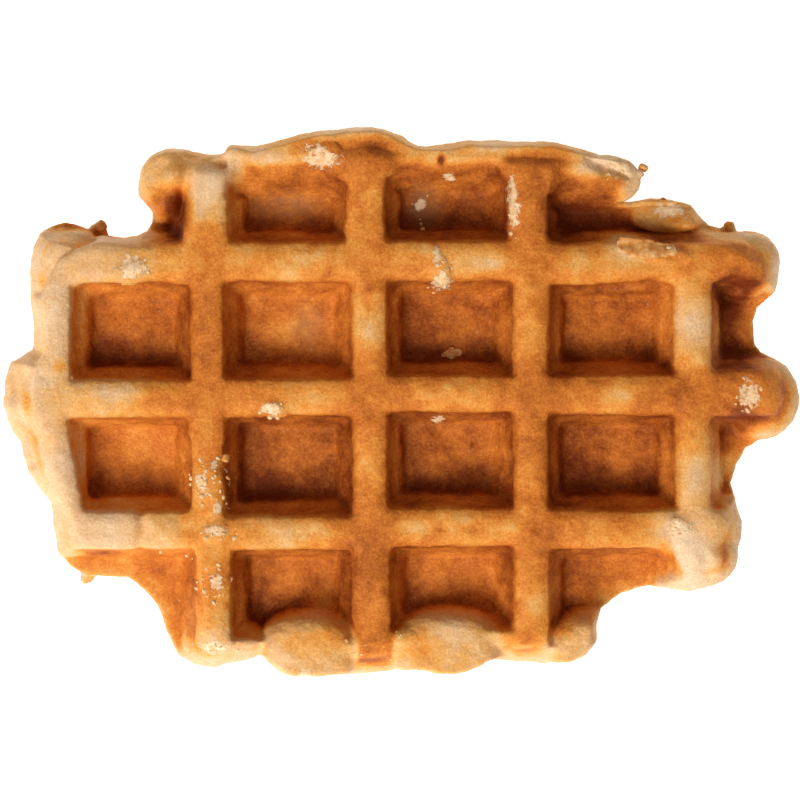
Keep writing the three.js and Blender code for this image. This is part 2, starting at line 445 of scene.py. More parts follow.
# %% [markdown]
# A press of the irons moves the dough about. Strokes like those of a sculpting brush
# follow, each an oval on the shown side with a soft edge, that pushes the surface up or
# down by so many mm. Folds, where one lobe of dough ran over another, are creases drawn
# along a line of a few points.

# %% Strokes and creases
STROKES = [
    # middle, half size, turn in degrees, push in mm
    ((-37.6, 35), (2.0, 8), -6, -2.4), ((-36.9, 41.5), (1.8, 4), -15, -0.8),
    ((-33.4, 44), (3, 2.6), 0, -1.4), ((-9.8, 37.4), (3.4, 8), 6, -0.8),
    ((49.6, 30.2), (5.0, 3.6), 0, 2.6), ((57, 20.5), (6, 5), 20, -2.6),
    ((46.6, -29), (4, 4.5), -30, -2.2), ((-41, -22), (3.6, 3.2), 0, 0.5),
    ((-67, 21), (3, 5), 20, -1.6), ((-66.5, 3), (3.4, 5), 0, -1.2),
]
CREASES = [
    # points along the fold, half width, depth in mm
    ([(-62.6, 19.2), (-61.1, 22.6), (-58.9, 25.5), (-56, 27.5), (-53.4, 28.7)], 0.9, 1.1),
    ([(-62.8, 8.9), (-64.5, 5), (-64.3, 1), (-65, -5), (-64.3, -10.5)], 0.8, 0.8),
    ([(-45.1, -18.7), (-44.7, -21.5), (-45.3, -24.2)], 0.9, 0.8),
    ([(-37.2, -6), (-37, -11.2), (-37.2, -17.4)], 0.6, 0.5),
    ([(-35.5, -26.6), (-35.2, -33.5), (-35.1, -40.4)], 0.7, 0.6),
    ([(-54.9, 20.2), (-51, 20), (-45, 20), (-40.8, 21), (-37.4, 21.9)], 0.6, 0.5),
    ([(-28, 20.4), (-20, 19.8), (-12.5, 20.4)], 0.6, 0.5),
    ([(34, 19.8), (38, 20), (41.8, 20.7), (46.2, 21.7)], 0.6, 0.9),
    ([(-31, 41), (-31.3, 43), (-31, 46)], 0.7, 0.9),
    ([(-8.4, -38), (-8.8, -43), (-8.4, -46)], 0.9, 0.4),
    ([(-1.8, -39), (-1.4, -43), (-1.6, -46)], 0.9, 0.4),
    ([(-25, -36), (-24.8, -40), (-25, -44)], 0.9, 0.6),
    ([(31.6, 42.4), (33.8, 41.1), (36.1, 40.4), (39, 39.2)], 0.6, 0.8),
]


def brush(points, at, half, turn=0.0):
    """1 in the middle of a turned oval, easing to 0 at its edge, on the shown side."""
    away = points[:, :2] - np.array(at)
    angle = math.radians(turn)
    along = (away[:, 0] * math.cos(angle) + away[:, 1] * math.sin(angle)) / half[0]
    across = (away[:, 1] * math.cos(angle) - away[:, 0] * math.sin(angle)) / half[1]
    reach = np.hypot(along, across)
    return (1 - smooth_step(reach, 0, 1)) * shown_side(points[:, 2])


def near_line(points, path, half_width):
    """1 on a drawn line, easing to 0 beside it, on the shown side."""
    closest = np.full(len(points), np.inf)
    for start, end in zip(path[:-1], path[1:]):
        start = np.array(start)
        step = np.array(end) - start
        share = np.clip((points[:, :2] - start) @ step / (step @ step), 0, 1)
        gap = points[:, :2] - start - share[:, None] * step
        closest = np.minimum(closest, np.hypot(gap[:, 0], gap[:, 1]))
    return np.exp(-(closest / half_width) ** 2) * shown_side(points[:, 2])


points = points_of(dough)
for at, half, turn, push in STROKES:
    points[:, 2] += push * brush(points, at, half, turn)
for path, half_width, depth in CREASES:
    points -= depth * near_line(points, path, half_width)[:, None] * normals_of(dough)
move_points(dough, points)
print(len(STROKES), "strokes,", len(CREASES), "creases")

# %% [markdown]
# Noise from the Displace modifier does the rest: slow waves from hand-filled irons, then
# the small lumps of a yeast dough, then nicks and the grain of the crust. Each layer is
# finer and lower than the one before.

# %% Waves, lumps and grain
ROUGHNESS = [
    # name, width of a lump in mm, height in mm, how many finer rounds of noise
    ("slow_waves", 12, 1.0, 1), ("dough_lumps", 4, 0.6, 2), ("nicks", 2.2, 0.26, 1),
    ("crust_grain", 1.3, 0.24, 0),
]


def roughen(piece, name, size_mm, height_mm, rounds):
    """Push the surface in and out by cloud noise whose lumps are this wide."""
    clouds = bpy.data.textures.new(name, "CLOUDS")
    clouds.noise_basis = "IMPROVED_PERLIN"
    clouds.noise_scale = size_mm * MM
    clouds.noise_depth = rounds
    apply_modifier(piece, name, "DISPLACE", texture=clouds, texture_coords="LOCAL",
                   direction="NORMAL", strength=height_mm * MM, mid_level=0.5)


for layer in ROUGHNESS:
    roughen(dough, *layer)
print(len(ROUGHNESS), "layers of roughness")

# %% [markdown]
# At the end the mesh is thinned where it is flat and on the underside, by a Decimate
# modifier. It spares what a vertex group names, here in ten steps from the underside up.
# That keeps the piece light and its edges sharp.

# %% Thin out the mesh
# the height in mm from which the mesh begins to be spared, and where it is spared most
SPARED_FROM = (6, 13)
SPARING_STEPS = 10
MOST_TRIANGLES = 190000

spared = smooth_step(points_of(dough)[:, 2], *SPARED_FROM)
group = dough.vertex_groups.new(name="shown_side")
for level in range(1, SPARING_STEPS + 1):
    chosen = np.flatnonzero(np.ceil(spared * SPARING_STEPS) == level)
    group.add(chosen.tolist(), level / SPARING_STEPS, "REPLACE")
apply_modifier(dough, "thin_out", "DECIMATE", ratio=MOST_TRIANGLES / triangles(dough),
               vertex_group="shown_side", invert_vertex_group=True, vertex_group_factor=1.0)
dough.vertex_groups.clear()
print("thinned to", triangles(dough), "triangles")

# %% [markdown]
# Now the baking. Each stretch of ridge and each pocket floor touched its iron for longer
# or more firmly than the next, so each has its own browning, from 0 for raw-looking pale
# dough through 0.45 for golden to 1 for burnt. Along a ridge the values stand at its
# crossings and halfway between them, and the browning slides from one to the next.

# %% How brown each stretch is
# one row for each level ridge, each upright ridge, and each row of pockets
LEVEL_BAKE = [
    [0.30, 0.30, 0.28, 0.34, 0.68, 0.34, 0.58, 0.36, 0.30, 0.30],
    [0.12, 0.26, 0.54, 0.32, 0.58, 0.38, 0.62, 0.44, 0.48, 0.58],
    [0.18, 0.28, 0.60, 0.42, 0.60, 0.44, 0.64, 0.44, 0.66, 0.56],
    [0.08, 0.12, 0.42, 0.28, 0.66, 0.38, 0.66, 0.48, 0.22, 0.16],
    [0.20, 0.20, 0.18, 0.14, 0.56, 0.20, 0.44, 0.30, 0.20, 0.20],
]
UPRIGHT_BAKE = [
    [0.12, 0.10, 0.12, 0.08, 0.18, 0.06, 0.08, 0.10, 0.10],
    [0.20, 0.18, 0.52, 0.60, 0.60, 0.46, 0.46, 0.48, 0.14],
    [0.70, 0.46, 0.58, 0.40, 0.60, 0.50, 0.68, 0.62, 0.60],
    [0.62, 0.66, 0.60, 0.42, 0.64, 0.52, 0.68, 0.50, 0.38],
    [0.40, 0.40, 0.42, 0.16, 0.64, 0.24, 0.22, 0.20, 0.20],
]
FLOOR_BAKE = [
    [0.66, 0.58, 0.70, 0.82, 0.66],
    [0.68, 0.54, 0.72, 0.66, 0.96],
    [0.56, 0.74, 0.70, 0.76, 0.68],
    [0.52, 0.66, 0.62, 0.68, 0.56],
]


def along(values, start, step, places):
    """A ridge's browning at places along it."""
    stations = start + step * np.arange(len(values))
    order = np.argsort(stations)
    return np.interp(places, stations[order], np.array(values)[order])


print(len(LEVEL_BAKE), "level ridges,", len(UPRIGHT_BAKE), "upright ridges baked")

# %% [markdown]
# Where two ridges meet, their values mix by how near each is. A pocket's floor gets painted
# shade along its left and front edge, where the walls on that side cast their shadow.

# %% Browning of ridges and floors, with painted shade on the floors
# in mm: how far a ridge's colour reaches to each side, and the half size of a floor
RIDGE_HALF = (2.6, 2.8)
FLOOR_HALF = (7.75, 5.8)
# how much painted shade darkens the left and front edge, and over which part of the floor it grows
FLOOR_EDGE_SHADE = (0.10, 0.22)
FLOOR_EDGE_FROM = (-0.2, 1.1)


def ridge_browning(x, y):
    """The browning of the nearest ridges."""
    column = np.abs(x[:, None] - UPRIGHT_RIDGES).argmin(axis=1)
    row = np.abs(y[:, None] - LEVEL_RIDGES).argmin(axis=1)
    level = np.zeros(len(x))
    upright = np.zeros(len(x))
    for i in range(len(LEVEL_BAKE)):
        values = along(LEVEL_BAKE[i], UPRIGHT_RIDGES[0], PITCH[0] / 2, x)
        level = np.where(row == i, values, level)
        values = along(UPRIGHT_BAKE[i], LEVEL_RIDGES[0], -PITCH[1] / 2, y)
        upright = np.where(column == i, values, upright)
    on_level = np.exp(-(nearest(y, LEVEL_RIDGES) / RIDGE_HALF[1]) ** 2)
    on_upright = np.exp(-(nearest(x, UPRIGHT_RIDGES) / RIDGE_HALF[0]) ** 2)
    return (level * on_level + upright * on_upright) / (on_level + on_upright + 1e-9)


def floor_browning_and_shade(x, y):
    """The browning of the pocket floor below each point, with painted shade at its left and front
    edge.
    """
    row = np.clip(((LEVEL_RIDGES[0] - y) // PITCH[1]).astype(int), 0, len(FLOOR_BAKE) - 1)
    column = ((x - UPRIGHT_RIDGES[0]) // PITCH[0]).astype(int)
    column = np.clip(column, 0, len(FLOOR_BAKE[0]) - 1)
    left_of = (UPRIGHT_RIDGES[0] + PITCH[0] * (column + 0.5) - x) / FLOOR_HALF[0]
    below = (LEVEL_RIDGES[0] - PITCH[1] * (row + 0.5) - y) / FLOOR_HALF[1]
    floor = np.array(FLOOR_BAKE)[row, column]
    # painted shade along the left and front edge, where the walls cast their shadow on the floor
    floor = floor + FLOOR_EDGE_SHADE[0] * smooth_step(left_of, *FLOOR_EDGE_FROM)
    return floor + FLOOR_EDGE_SHADE[1] * smooth_step(below, *FLOOR_EDGE_FROM)


spots = points_of(dough)
on_ridges = ridge_browning(spots[:, 0], spots[:, 1])
print("ridges from", on_ridges.min().round(2), "to", on_ridges.max().round(2))

# %% [markdown]
# A wall lies between its ridge and its floor in colour, with painted light and shade by its
# facing: paler where it faces away from the soft box, browner where it faces it. The lips of
# the pockets caught most heat. The rim and the sides hardly touched the irons, so they fade
# to pale, and the bulges have one pale tone.

# %% Browning of walls, lips and rim, with painted light and shade on the walls
# a name with BAKE is an amount of browning; a pair tells where something begins and where
# it is complete, in mm of depth, height or distance from the edge, or as a share of a turn
FLOOR_FROM = (5.5, FLOOR_DEPTH - 0.6)
WALL_MIX = (0.6, 0.4)
WALL_BAKE = 0.09
# painted light and shade: walls facing away from the soft box are paler, those facing it browner
WALL_FACING_LIGHT_SHADE = (-0.10, -0.13)
WALL_FROM = (1.5, 2.8)
WALL_INSIDE = (2, 5)
LIP_BAKE = 0.04
LIP_TILT = (0.05, 0.4)
LIP_FADES = (2, 5)
LIP_INSIDE = (3, 6)
PALE_RIM = (1.0, 4.5)
RIM_BAKE = 0.1
WEB_KEPT = 0.5
SIDE_FACING = (0.35, 0.7)
BULGE_BAKE = 0.21
BULGE_SKIN = (0.9, 1)
BULGE_FROM = (12, 16)


def browning(points, inward, normals):
    """The browning of every point, by ridge, wall, floor and rim, with painted light and shade."""
    x, y, z = points.T
    ridge = ridge_browning(x, y)
    floor = floor_browning_and_shade(x, y)
    depth = np.minimum(THICKNESS - z, z)
    sunk = smooth_step(depth, *FLOOR_FROM)
    wall = WALL_MIX[0] * ridge + WALL_MIX[1] * floor + WALL_BAKE
    # painted light and shade by which way the wall faces the soft box
    wall = wall + normals[:, 0] * WALL_FACING_LIGHT_SHADE[0] + normals[:, 1] * WALL_FACING_LIGHT_SHADE[1]
    on_wall = smooth_step(depth, *WALL_FROM) * smooth_step(inward, *WALL_INSIDE)
    bake = ridge * (1 - on_wall) + wall * on_wall
    bake = bake * (1 - sunk) + floor * sunk
    on_lip = smooth_step(1 - np.abs(normals[:, 2]), *LIP_TILT)
    on_lip = on_lip * (1 - smooth_step(depth, *LIP_FADES)) * smooth_step(inward, *LIP_INSIDE)
    bake = bake + LIP_BAKE * on_lip
    outwards = points[:, :2] / np.hypot(x, y)[:, None]
    on_side = smooth_step((normals[:, :2] * outwards).sum(axis=1), *SIDE_FACING)
    outside = 1 - smooth_step(inward, *PALE_RIM)
    outside = outside * (1 - WEB_KEPT * sunk * (1 - on_side))
    bake = bake * (1 - outside) + RIM_BAKE * outside
    for at, half, _ in BULGES:
        on_bulge = 1 - smooth_step(bulge_reach(points, at, half), *BULGE_SKIN)
        on_bulge = on_bulge * smooth_step(z, *BULGE_FROM)
        bake = bake * (1 - on_bulge) + BULGE_BAKE * on_bulge
    return bake


inward = edge_distance(spots)
bake = browning(spots, inward, normals_of(dough))
print("browning by rule: from", bake.min().round(2), "to", bake.max().round(2))

# %% [markdown]
# Marks that follow no rule are set down one by one, as with a paint brush. A mark is the
# middle and half size of an oval in mm, its turn in degrees, and how much it adds.

# %% Baked marks, painted shade and painted highlights
BAKE_LIGHT_AND_SHADE_MARKS = [
    # the ball, painted shade on its lower right and in the valley beside it, and the pale end of its
    # ridge
    ((-44.6, 38), (3.6, 7), 0, -0.02), ((-38.6, 32.4), (3.6, 7), -8, 0.84),
    ((-37.4, 41), (3.2, 5), -20, 0.14), ((-33, 38), (3.2, 7), 0, -0.10),
    ((-41, 34.6), (4.4, 4.6), 0, 0.52), ((-34, 28.6), (4, 4), 0, 0.12),
    ((-20, 45), (15, 4), 0, 0.20), ((8, 45), (15, 4), 0, 0.16), ((28, 43), (7, 4), 0, 0.14),
    # top rim: a golden band, and the dark end of the middle ridge
    ((-20, 42), (11, 2.4), 0, -0.16), ((-5.5, 43.5), (4.5, 5.5), 0, 0.26),
    ((8, 41.6), (11, 2.2), 0, -0.12), ((15, 43.5), (6, 2.4), 0, -0.12),
    ((-20, 37.6), (11, 2.4), 0, 0.14), ((21.5, 40), (3, 5), 0, 0.08),
    ((32, 40.4), (7, 3.4), 0, -0.34), ((29, 36.6), (5, 3), 0, -0.16),
    # painted shadow: the first row's floors darker along their front edge, below the next ridge
    ((-20.5, 28.4), (11, 1.8), 0, 0.20), ((7.2, 28.6), (11, 1.8), 0, 0.16),
    # bright places on the ridges, where the iron barely touched, with painted highlights
    ((-28.5, 24), (4.5, 1.9), -14, -0.16), ((-16, 24.6), (5, 2), -6, -0.12),
    ((14, 24.2), (7, 2.8), 3, -0.30), ((30, 24), (5, 2.4), 0, -0.10),
    ((-5.4, 12), (2.8, 5), 0, -0.18), ((50, 13), (2.8, 7), 0, -0.10),
    ((-50, 1.8), (7, 2.4), 0, -0.12), ((37, 1.4), (5.5, 2.4), 0, -0.18),
    ((-15, 1.2), (6, 2.2), 0, -0.14), ((3, 1.4), (5, 2.2), 0, -0.12),
    ((-16, -21.8), (10, 2.4), 0, -0.12), ((2, -21), (4.5, 2.6), 0, -0.26),
    ((18, -21), (3, 2.4), 0, -0.14), ((-42, 0), (7, 3), 0, 0.26),
    ((-36, -23.2), (4, 3), 0, 0.20), ((40, -21.5), (5, 3), 0, 0.08),
    ((22.2, -35), (2.8, 4), 0, -0.26), ((50, -12.5), (2.8, 7), 0, -0.12),
    ((-34, -4.5), (2.4, 4), 0, -0.16), ((22, 12), (2.4, 6), 0, -0.08),
    # browner stretches between them
    ((-12.6, 24), (2.2, 3.4), 0, 0.14), ((3.4, 24.6), (3.4, 2.4), 0, 0.12),
    ((12, -21.6), (3, 2.2), 0, 0.12), ((-6.4, 20), (2.4, 3), 0, 0.10),
    # the inner, browned side of the right lobes
    ((57, 21.5), (6.5, 6), 20, 0.26), ((45, 27), (6, 3.4), 0, 0.16),
    ((58.5, -1.5), (5.5, 3), -10, 0.22), ((55.8, -27), (1.8, 4.6), 12, 0.30),
    ((45.4, -25.5), (2.4, 4.2), 15, 0.28),
    # marks on the pale left rim
    ((-64.6, 0.2), (1.8, 4), 15, 0.34), ((-58.5, 6.5), (2.2, 2), 0, 0.26),
    ((-52, -26), (5, 1.2), 0, 0.34),
    # bulges along the bottom rim, and the lobe at the lower right
    ((-12, -40), (5, 4), -40, 0.14), ((-18, -41), (4.6, 3.6), 0, 0.16),
    ((2, -42.4), (6, 5), 0, 0.24), ((27.2, -39), (3, 2.6), 0, 0.36),
    ((21.5, -40.5), (4, 3.6), 0, 0.12), ((-5, -43.8), (5, 1.3), 0, -0.22),
    ((21, -42.2), (4, 1.2), 0, -0.2), ((-33.5, -42), (4.5, 4), 0, -0.15),
    ((50, -27), (5.5, 8), 15, -0.4),
    # the tongue at the top right, and single spots
    ((45, 33), (7, 4), -10, 0.12), ((50, 30.6), (6, 4), -20, 0.22),
    ((21.5, 41), (2.4, 2.6), 0, -0.14), ((-34, 42), (4.4, 3.6), 0, 0.16),
    ((-10, 41), (3, 3), 0, 0.10), ((6.4, 41.8), (1.2, 1.4), 0, 0.9),
    ((-44.5, -31), (7, 7), 0, 0.20), ((63, 24), (4, 7.5), 60, -0.2),
    # paler patches on the pocket floors
    ((-21, 11.5), (5, 5.5), 0, -0.16), ((-55, -9.5), (4.5, 4), 0, -0.16),
    ((36, 12), (5, 3), 0, -0.10), ((38, -11), (6, 1.8), -25, -0.14),
    ((-47, 12), (3.2, 4), 0, -0.12),
]

# Places where the crust stayed on the iron, or where a sugar pearl melted out.
TORN_PLACES = [
    ((-46.4, 23.4), (4.6, 4.2), 10), ((5.6, 25.4), (1.8, 3.6), 10), ((6.6, 21.2), (3.4, 2.8), 0),
    ((-14.4, 42.4), (6, 3.6), -15), ((18.7, 34), (1.7, 8.5), 4), ((3, 34.5), (1.6, 3), -30),
    ((7.9, 39.1), (1.7, 1.2), 0), ((-22.6, -0.9), (4, 2.2), -10),
    ((-34.6, -13.6), (2.6, 3.6), -5), ((-32.4, -10.2), (1.4, 1.6), 0), ((-32, -18), (1.6, 2), 0),
    ((-32.2, -21.6), (3.6, 1.8), 0), ((-32.2, -30.6), (2.2, 3), 0), ((-32.6, -42), (4, 2.4), 0),
    ((43, 26.6), (7, 2.2), -6), ((47.4, -20.8), (3.8, 2), -12),
    ((59.3, 1.5), (3.2, 4.8), 0), ((8.7, 8.2), (2.2, 1.1), 0), ((6.1, -3), (2.2, 1.6), 0),
    ((-17, -46.5), (2.2, 2.2), 0), ((37.5, 40.6), (4.6, 3.4), -10), ((33, -43), (2.2, 3), 10),
    ((46, 33.5), (5, 2.6), -10),
]
# Places where scorched fat from an earlier bake left a dull, ashy bloom.
ASHY_PLACES = [
    ((-16.4, 13.5), (4.4, 6), 0), ((-20, 34), (9, 4), 0), ((3.6, 33.8), (5, 6), 0),
]


def most_of(places, points):
    """1 in the middle of any of these ovals, easing to 0 at their edges."""
    layer = np.zeros(len(points))
    for at, half, turn in places:
        layer = np.maximum(layer, brush(points, at, half, turn))
    return layer


def store(piece, name, values):
    """Keep one number for each vertex, for the material to read."""
    layer = piece.data.attributes.new(name, "FLOAT", "POINT")
    layer.data.foreach_set("value", values.astype(np.float32))


for at, half, turn, amount in BAKE_LIGHT_AND_SHADE_MARKS:
    bake = bake + amount * brush(spots, at, half, turn)
bake = np.clip(bake, 0, 1)
store(dough, "bake", bake)
store(dough, "torn", most_of(TORN_PLACES, spots))
store(dough, "ashy", most_of(ASHY_PLACES, spots))
print(len(BAKE_LIGHT_AND_SHADE_MARKS), "marks,", len(TORN_PLACES), "torn places")

# %% [markdown]
# The crust is flour, sugar and butter browned on hot iron. It is dry and matt with a faint
# caramel sheen. Its colour runs from cream through straw and gold to brown, broken by
# blotches where the dough met the iron unevenly, and by a fine toasted grain.

# %% Material: browned waffle crust
CRUST_COLOURS = [
    (0.00, "#E0BF99"), (0.12, "#DCB080"), (0.27, "#DCA058"), (0.42, "#D88A3A"),
    (0.56, "#C8732B"), (0.70, "#B06022"), (0.84, "#904818"), (1.00, "#6E2C0A"),
]
CRUST_NOISES = {
    # width of the blobs in mm, detail, roughness
    "blotches": (7, 2, 0.55), "mottle": (1.9, 2, 0.55), "grain": (0.6, 2, 0.55),
    "flecks": (0.4, 2, 0.6), "dust": (1.9, 3, 0.55), "ragged": (1.5, 5, 0.8),
    "crumb": (0.9, 3, 0.65), "pores": (0.75, 4, 0.65),
}
# how much each noise swings the browning, and how much of that is left where it is pale
UNEVENNESS = {"blotches": 0.60, "mottle": 0.36, "grain": 0.24}
PALE_AND_GOLDEN = (0.05, 0.40)
CALM_WHERE_PALE = 0.3


def fill_ramp(ramp, colours):
    """Give a colour ramp these positions and colours, and return what it gives."""
    for position, _ in colours[1:-1]:
        ramp.color_ramp.elements.new(position)
    for element, (position, colour) in zip(ramp.color_ramp.elements, colours):
        element.position = position
        element.color = linear(colour)
    return ramp.outputs["Color"]


crust, tree = new_material("browned waffle crust")
place = add_node(tree, "ShaderNodeTexCoord").outputs["Object"]
stored = {}
for name in ("bake", "torn", "ashy"):
    stored[name] = add_node(tree, "ShaderNodeAttribute", attribute_name=name).outputs["Fac"]
noise = {}
for name, (width_mm, detail, roughness) in CRUST_NOISES.items():
    noise[name] = add_node(tree, "ShaderNodeTexNoise", {
        "Vector": place, "Scale": per_metre(width_mm), "Detail": detail,
        "Roughness": roughness}).outputs["Fac"]
print(len(noise), "noises from", min(CRUST_NOISES.values())[0], "mm wide")

# %% [markdown]
# The browning, with its painted light and shade, is made uneven by three of the noises,
# which swing less where the dough is pale, since it hardly touched the iron there. A ramp
# then turns it into colour.

# %% Colour of the crust
lively = add_node(tree, "ShaderNodeMapRange", {
    "Value": stored["bake"], "From Min": PALE_AND_GOLDEN[0], "From Max": PALE_AND_GOLDEN[1],
    "To Min": CALM_WHERE_PALE, "To Max": 1.0}).outputs["Result"]
# the stored value brings its painted light and shade into the colour
browned = stored["bake"]
for name, strength in UNEVENNESS.items():
    around_nought = add_node(tree, "ShaderNodeMath", {0: noise[name], 1: 0.5},
                             operation="SUBTRACT").outputs[0]
    swing = add_node(tree, "ShaderNodeMath", {0: around_nought, 1: lively},
                     operation="MULTIPLY").outputs[0]
    browned = add_node(tree, "ShaderNodeMath", {0: swing, 1: strength, 2: browned},
                       operation="MULTIPLY_ADD").outputs[0]
crust_colour = fill_ramp(add_node(tree, "ShaderNodeValToRGB", {"Fac": browned}), CRUST_COLOURS)
print("colours from", CRUST_COLOURS[0][1], "to", CRUST_COLOURS[-1][1])

# %% [markdown]
# Toasted grains of flour give the crust fine light and dark flecks, mixed in by Soft Light,
# which keeps the hue. Ashy places are dulled with a dusty brown. Where the crust was torn
# off, its ragged outline comes from noise added to the stored oval, and the crumb shows.

# %% Flecks, ash and torn places
FLECK_CONTRAST = (0.38, 0.72)
DUSTY_BROWN = "#A2734C"
CRUMB_COLOURS = [(0.3, "#D6A672"), (0.5, "#EACA9E"), (0.7, "#F6E0C2")]
RAGGEDNESS = 2.8
TORN_FROM = (0.45, 0.62)
CRUMB_SHOWS = 0.85

flecks = add_node(tree, "ShaderNodeMapRange", {
    "Value": noise["flecks"], "From Min": 0.3, "From Max": 0.7,
    "To Min": FLECK_CONTRAST[0], "To Max": FLECK_CONTRAST[1]}).outputs["Result"]
crust_colour = add_node(tree, "ShaderNodeMix", {
    "Factor": 1.0, 6: crust_colour, 7: flecks},
    data_type="RGBA", blend_type="SOFT_LIGHT").outputs[2]
ash = add_node(tree, "ShaderNodeMath", {0: stored["ashy"], 1: noise["dust"]},
               operation="MULTIPLY").outputs[0]
crust_colour = add_node(tree, "ShaderNodeMix", {
    "Factor": ash, 6: crust_colour, 7: linear(DUSTY_BROWN)}, data_type="RGBA").outputs[2]

around_nought = add_node(tree, "ShaderNodeMath", {0: noise["ragged"], 1: 0.5},
                         operation="SUBTRACT").outputs[0]
ragged = add_node(tree, "ShaderNodeMath", {0: around_nought, 1: RAGGEDNESS, 2: stored["torn"]},
                  operation="MULTIPLY_ADD").outputs[0]
bare = add_node(tree, "ShaderNodeMapRange", {
    "Value": ragged, "From Min": TORN_FROM[0], "From Max": TORN_FROM[1]},
    interpolation_type="SMOOTHSTEP").outputs["Result"]
crumb_colour = fill_ramp(add_node(tree, "ShaderNodeValToRGB", {"Fac": noise["crumb"]}),
                         CRUMB_COLOURS)
crumb_share = add_node(tree, "ShaderNodeMath", {0: bare, 1: CRUMB_SHOWS},
                       operation="MULTIPLY").outputs[0]
surface_colour = add_node(tree, "ShaderNodeMix", {
    "Factor": crumb_share, 6: crust_colour, 7: crumb_colour}, data_type="RGBA").outputs[2]
print("crumb shows from", TORN_FROM[0], "to", TORN_FROM[1])

# %% [markdown]
# Pores under a millimetre are too fine for the mesh, so they are bump, and torn places
# stand a little proud. The surface is dry: rough, with little gloss. A trace of light
# softens inside it, as in bread, more of the red than of the blue.

# %% Pores and sheen of the crust
PORE_HEIGHT = 0.3 * MM
TORN_LIFT = 0.5

relief = add_node(tree, "ShaderNodeMath", {0: bare, 1: TORN_LIFT, 2: noise["pores"]},
                  operation="MULTIPLY_ADD").outputs[0]
bump = add_node(tree, "ShaderNodeBump", {
    "Height": relief, "Strength": 0.6, "Distance": PORE_HEIGHT})
surface = add_node(tree, "ShaderNodeBsdfPrincipled", {
    "Base Color": surface_colour, "Roughness": 0.6, "IOR": 1.45, "Specular IOR Level": 0.12,
    "Normal": bump.outputs["Normal"], "Subsurface Weight": 0.06,
    "Subsurface Radius": (1.0, 0.4, 0.15), "Subsurface Scale": 0.8 * MM})
add_node(tree, "ShaderNodeOutputMaterial", {"Surface": surface.outputs["BSDF"]})
print(len(tree.nodes), "nodes in the crust")

dough.data.materials.append(crust)
only(dough)
bpy.ops.object.shade_smooth()

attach(dough, "root")
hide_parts("waffle")

# %% [markdown]
# Where the waffle was prised off the irons, a few flakes of crust came half away. A flake
# is a thin sheet: a grid whose ragged outer faces are deleted, with its corners shaken
# about. It is laid on the dough by looking straight down for the height under each point,
# one long edge is lifted, and a Solidify modifier gives it its thickness.

# %% Torn flakes
FLAKES = [
    # middle, half size, turn in degrees, lift of the upper edge in mm
    ((41.6, 26.6), (6.0, 2.2), -6, 0.35), ((8.6, 8.6), (2.2, 1.0), 4, 0.2),
]
# in mm, apart from the shake, which is a share of a cell
FLAKE_CELL = 0.35
FLAKE_SHAKE = 0.4
FLAKE_THICKNESS = 0.2
FLAKE_GAP = 0.06
FLAKE_SAG = 0.5
# the outline as a share of the half size: its radius, then how many waves of what height
RAGGED_RADIUS = 0.82
RAGGED_WAVES = [(2, 0.08), (3, 0.08), (7, 0.04)]


def height_at(x, y):
    """How high the dough's shown surface stands here, in mm."""
    above = Vector((x * MM, y * MM, 2 * THICKNESS * MM))
    hit, place, _, _ = dough.ray_cast(above, Vector((0, 0, -1)))
    return place.z / MM if hit else 0.0


def torn_flake(number, at, half, turn, lift, draws):
    """One ragged sheet of crust, lying on the dough with its upper edge lifted."""
    bpy.ops.object.select_all(action="DESELECT")
    columns, rows = (round(2 * side / FLAKE_CELL) for side in half)
    bpy.ops.mesh.primitive_grid_add(x_subdivisions=columns, y_subdivisions=rows, size=2 * MM)
    flake = bpy.context.object
    flake.name = f"flake_{number}"
    bpy.ops.object.mode_set(mode="EDIT")
    bpy.ops.mesh.select_all(action="DESELECT")
    bpy.ops.object.mode_set(mode="OBJECT")
    shifts = [draws.uniform(0, math.tau) for _ in RAGGED_WAVES]
    for face in flake.data.polygons:
        angle = math.atan2(face.center.y, face.center.x)
        outline = RAGGED_RADIUS
        for (waves, height), shift in zip(RAGGED_WAVES, shifts):
            outline += height * math.sin(waves * angle + shift)
        face.select = math.hypot(face.center.x, face.center.y) / MM > outline
    bpy.ops.object.mode_set(mode="EDIT")
    bpy.ops.mesh.delete(type="FACE")
    bpy.ops.mesh.select_all(action="SELECT")
    bpy.ops.transform.resize(value=(*half, 1))
    bpy.ops.transform.vertex_random(offset=FLAKE_SHAKE * FLAKE_CELL * MM, seed=number)
    bpy.ops.transform.rotate(value=-math.radians(turn), orient_axis="Z",
                             center_override=(0, 0, 0))
    bpy.ops.object.mode_set(mode="OBJECT")
    sheet = points_of(flake)
    raised = smooth_step(sheet[:, 1] / half[1], 0, 1)
    sheet[:, :2] += at
    sheet[:, 2] = [height_at(x, y) for x, y in sheet[:, :2]]
    sheet[:, 2] = np.maximum(sheet[:, 2], np.median(sheet[:, 2]) - FLAKE_SAG)
    sheet[:, 2] += FLAKE_GAP + lift * raised
    move_points(flake, sheet)
    apply_modifier(flake, "thickness", "SOLIDIFY", thickness=FLAKE_THICKNESS * MM, offset=0)
    apply_modifier(flake, "soften", "SUBSURF", levels=1, render_levels=1)
    return flake


def join_all(pieces, name):
    """Join the pieces into one object at the origin."""
    bpy.ops.object.select_all(action="DESELECT")
    for piece in pieces:
        piece.select_set(True)
    bpy.context.view_layer.objects.active = pieces[0]
    bpy.ops.object.join()
    pieces[0].name = name
    bpy.ops.object.shade_smooth()
    return pieces[0]


bpy.context.view_layer.update()
draws = random.Random(7)
flakes = join_all([torn_flake(i, *flake, draws) for i, flake in enumerate(FLAKES)],
                  "torn_flakes")
print(len(FLAKES), "flakes,", triangles(flakes), "triangles")

# %% [markdown]
# Pearl sugar melts to the irons and comes away as pale, glassy grit. A grain is a cube
# with its edges bevelled off and its corners shaken, which gives a lump of a few faces.
# It is modelled once. Seeded draws then strew copies over the places where the crust is
# torn, each turned and sized at random and sunk a little.

